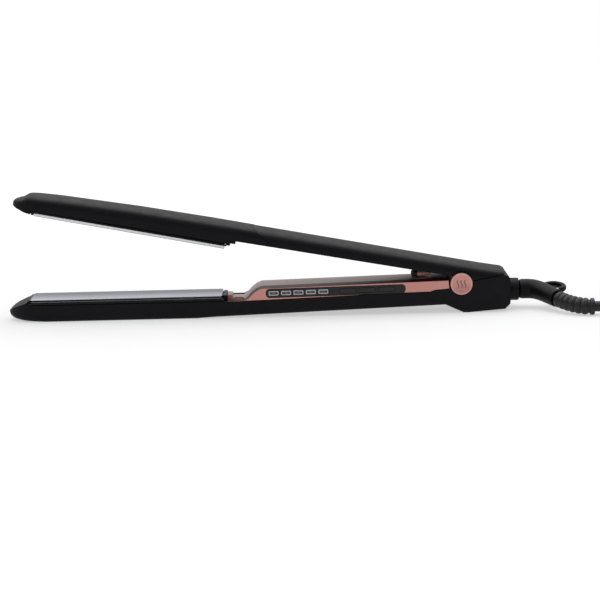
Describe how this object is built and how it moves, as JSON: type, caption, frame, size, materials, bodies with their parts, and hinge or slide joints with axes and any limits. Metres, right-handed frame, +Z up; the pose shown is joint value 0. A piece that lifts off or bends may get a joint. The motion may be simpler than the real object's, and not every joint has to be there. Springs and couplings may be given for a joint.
{
  "type": "flat iron",
  "caption": "Slim hair straightener with sprung jaw, floating heating plates, rose control strip, swivel cord elbow with hanging ring, and a mains cord folded in a tied hank.",
  "frame": {"origin": "on the table under the middle of the iron's length, from the nose to the swivel collar, on its centre plane", "axes": "+X towards the cord, +Y away from the control strip, +Z up from the table"},
  "size_m": [0.6224, 0.0558, 0.0728],
  "materials": {
    "matt_black": "fine soft-touch matt black",
    "heat_black": "smooth black heat-resistant plastic",
    "rose": "satin rose gold metallic",
    "gloss_black": "gloss black",
    "window_grey": "smoked indicator window, unlit",
    "plate": "polished coated aluminium, slightly blue",
    "steel": "plain steel",
    "ceramic": "unglazed ceramic",
    "silicone": "soft heat-proof silicone",
    "circuit_board": "green solder mask",
    "cord_rubber": "matt black flexible PVC"
  },
  "bodies": {
    "root": {"lower_shell": "matt_black", "swivel_collar": "matt_black", "lower_plate_carrier": "heat_black", "handle_cover": "rose", "wire_tower": "rose", "hinge_cap_near": "rose", "hinge_cap_far": "rose", "control_panel": "gloss_black", "indicator_window_1": "window_grey", "indicator_window_2": "window_grey", "indicator_window_3": "window_grey", "indicator_window_4": "window_grey", "indicator_window_5": "window_grey", "cover_screw": "steel", "hinge_pin": "steel", "hinge_spring": "steel", "plug_pin_left": "steel", "plug_pin_right": "steel", "lower_spring_pad_front": "silicone", "lower_spring_pad_rear": "silicone", "control_board": "circuit_board", "mains_lead_inner": "cord_rubber", "opening_stop": "cord_rubber", "cord_run": "cord_rubber", "cord_tail": "cord_rubber", "cord_hank": "cord_rubber", "cord_tie": "cord_rubber", "plug_body": "cord_rubber"},
    "upper_arm": {"upper_front_shell": "matt_black", "upper_handle_shell": "matt_black", "upper_plate_carrier": "heat_black", "upper_spring_pad_front": "silicone", "upper_spring_pad_rear": "silicone", "upper_inner_cover": "heat_black", "inner_cover_screw_front": "steel", "inner_cover_screw_rear": "steel"},
    "lower_plate_body": {"lower_plate": "plate", "lower_heater": "ceramic", "thermistor": "ceramic"},
    "upper_plate_body": {"upper_plate": "plate", "upper_heater": "ceramic", "thermal_fuse": "steel"},
    "swivel": {"swivel_stem": "heat_black", "elbow_top": "matt_black", "elbow_bottom": "matt_black", "elbow_screw_1": "steel", "elbow_screw_2": "steel", "ribbed_boot": "cord_rubber"},
    "power_key": {"button_power": "gloss_black"},
    "minus_key": {"button_minus": "gloss_black"},
    "plus_key": {"button_plus": "gloss_black"}
  },
  "joints": [
    {"name": "jaw", "type": "hinge", "parent": "root", "child": "upper_arm", "pos_m": [0.113, 0, 0.0167], "axis": [0, 1, 0], "range_deg": [-11.2, 0], "stiffness_Nm_per_rad": 0.5, "springref_deg": 22.92},
    {"name": "lower_plate_float", "type": "slide", "parent": "root", "child": "lower_plate_body", "axis": [0, 0, -1], "range_m": [0, 0.001], "stiffness_N_per_m": 4000},
    {"name": "upper_plate_float", "type": "slide", "parent": "upper_arm", "child": "upper_plate_body", "axis": [0.1942, 0, 0.981], "range_m": [0, 0.001], "stiffness_N_per_m": 4000},
    {"name": "cord_swivel", "type": "hinge", "parent": "root", "child": "swivel", "pos_m": [0.147, 0, 0.0106], "axis": [-1, 0, 0], "continuous": true},
    {"name": "power_press", "type": "slide", "parent": "root", "child": "power_key", "axis": [0, 1, 0], "range_m": [0, 0.0005], "stiffness_N_per_m": 800},
    {"name": "minus_press", "type": "slide", "parent": "root", "child": "minus_key", "axis": [0, 1, 0], "range_m": [0, 0.0005], "stiffness_N_per_m": 800},
    {"name": "plus_press", "type": "slide", "parent": "root", "child": "plus_key", "axis": [0, 1, 0], "range_m": [0, 0.0005], "stiffness_N_per_m": 800}
  ]
}
